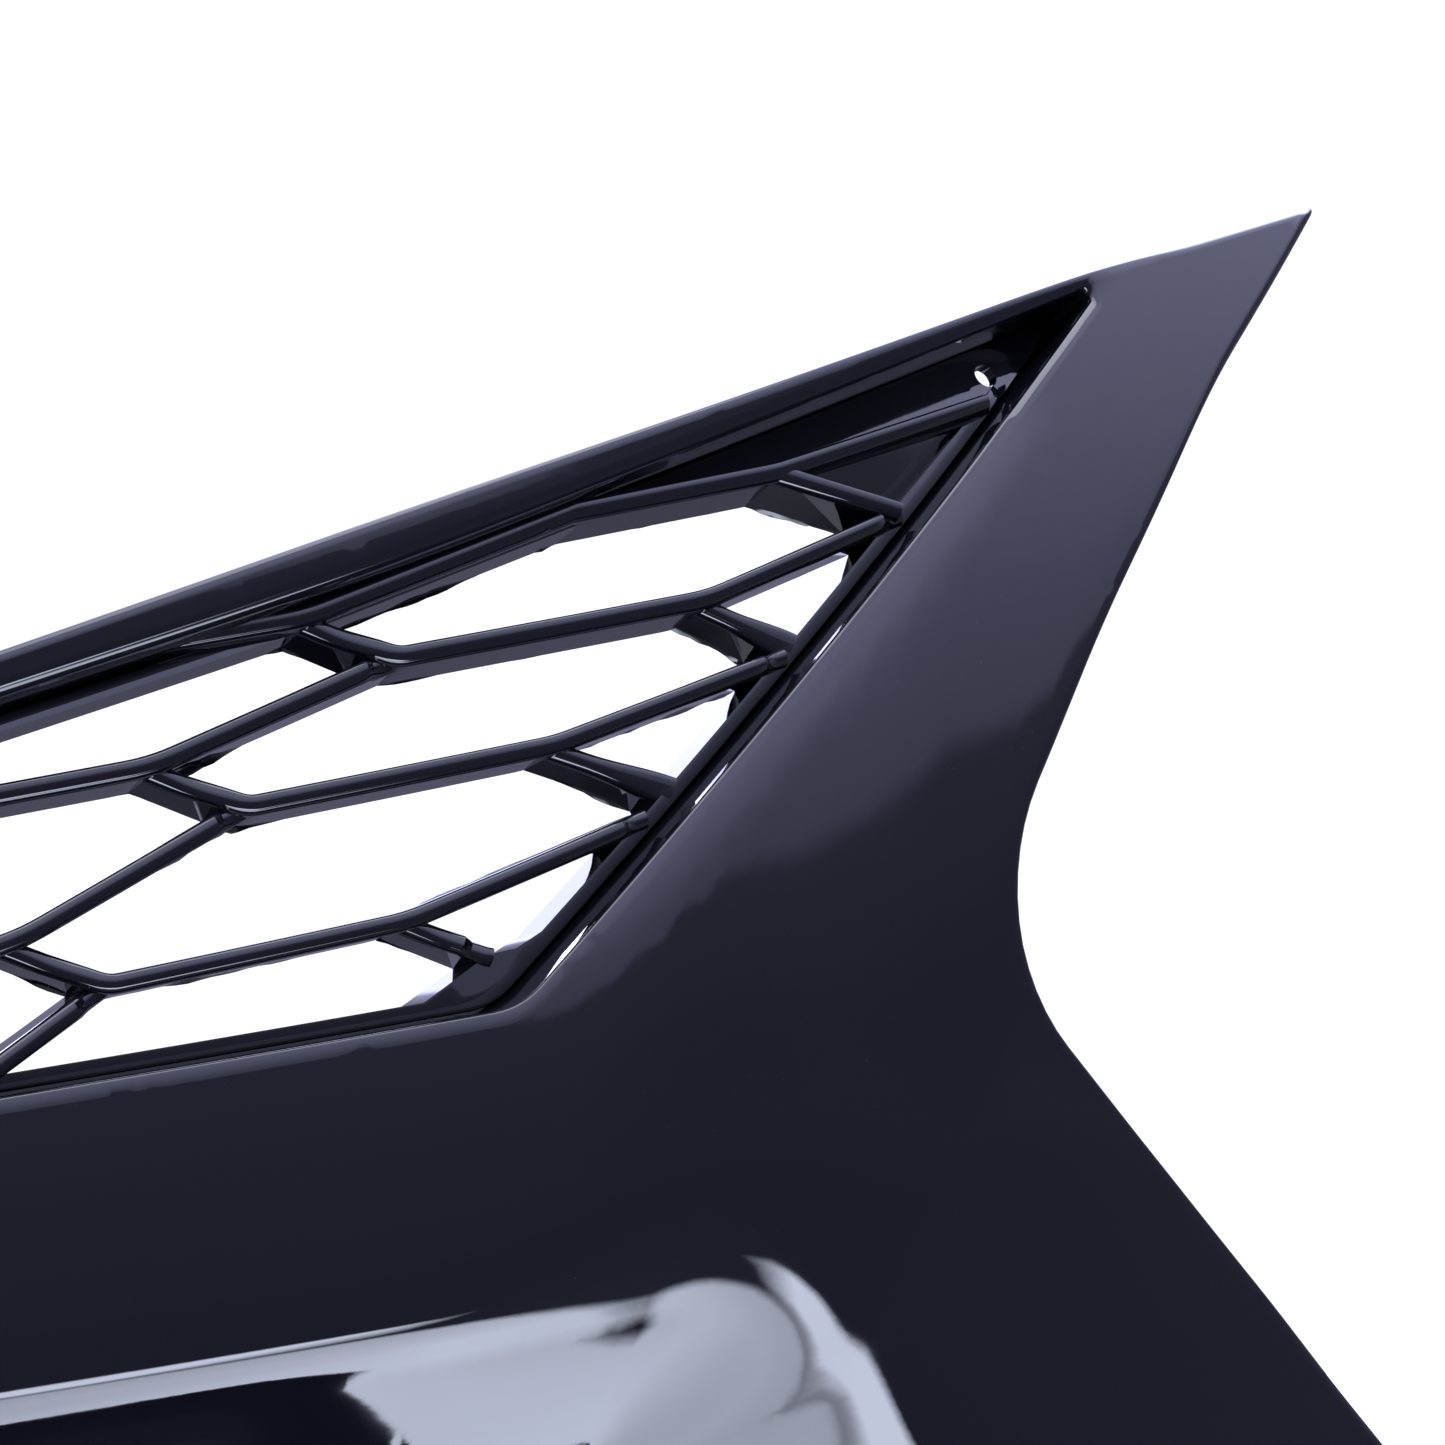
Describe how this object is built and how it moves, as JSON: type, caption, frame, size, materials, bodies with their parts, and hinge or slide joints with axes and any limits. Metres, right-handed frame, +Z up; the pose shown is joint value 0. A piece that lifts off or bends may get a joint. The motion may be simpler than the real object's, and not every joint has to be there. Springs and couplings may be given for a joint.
{
  "type": "car front grille",
  "caption": "Gloss black front grille: a wrap-around surround with an upper honeycomb mesh, a solid band and a deep lower mesh opening, with rear brackets and clips.",
  "frame": {"origin": "middle of the width and of the depth, on the lowest edge of the surround", "axes": "+X across the grille, to the right of someone looking at its front; -Y out of the front; +Z up"},
  "size_m": [0.8172, 0.1417, 0.3829],
  "materials": {
    "gloss_black": "piano black, mirror gloss",
    "satin_black": "satin moulded ABS",
    "zinc_steel": "zinc plated",
    "black_paint": "satin black e-coat on bent steel sheet",
    "black_foam": "closed-cell foam strip"
  },
  "bodies": {
    "root": {"surround_shell": "gloss_black", "upper_mesh": "gloss_black", "lower_mesh": "gloss_black", "badge_carrier": "satin_black", "badge_blank": "gloss_black", "badge_nut_left": "zinc_steel", "badge_nut_right": "zinc_steel", "upper_mesh_screw_1": "zinc_steel", "upper_mesh_screw_2": "zinc_steel", "upper_mesh_screw_3": "zinc_steel", "upper_mesh_screw_4": "zinc_steel", "upper_mesh_screw_5": "zinc_steel", "upper_mesh_screw_6": "zinc_steel", "upper_mesh_screw_7": "zinc_steel", "upper_mesh_screw_8": "zinc_steel", "lower_mesh_screw_1": "zinc_steel", "lower_mesh_screw_2": "zinc_steel", "lower_mesh_screw_3": "zinc_steel", "lower_mesh_screw_4": "zinc_steel", "lower_mesh_screw_5": "zinc_steel", "lower_mesh_screw_6": "zinc_steel", "lower_mesh_screw_7": "zinc_steel", "lower_mesh_screw_8": "zinc_steel", "centre_bracket": "black_paint", "centre_u_nut": "zinc_steel", "centre_bracket_screw_a": "zinc_steel", "centre_bracket_screw_b": "zinc_steel", "right_bracket": "black_paint", "right_u_nut": "zinc_steel", "right_bracket_screw_a": "zinc_steel", "right_bracket_screw_b": "zinc_steel", "left_bracket": "black_paint", "left_u_nut": "zinc_steel", "left_bracket_screw_a": "zinc_steel", "left_bracket_screw_b": "zinc_steel", "spring_clip_1": "zinc_steel", "spring_clip_2": "zinc_steel", "spring_clip_3": "zinc_steel", "spring_clip_4": "zinc_steel", "foam_seal_right": "black_foam", "foam_seal_left": "black_foam"}
  },
  "joints": []
}
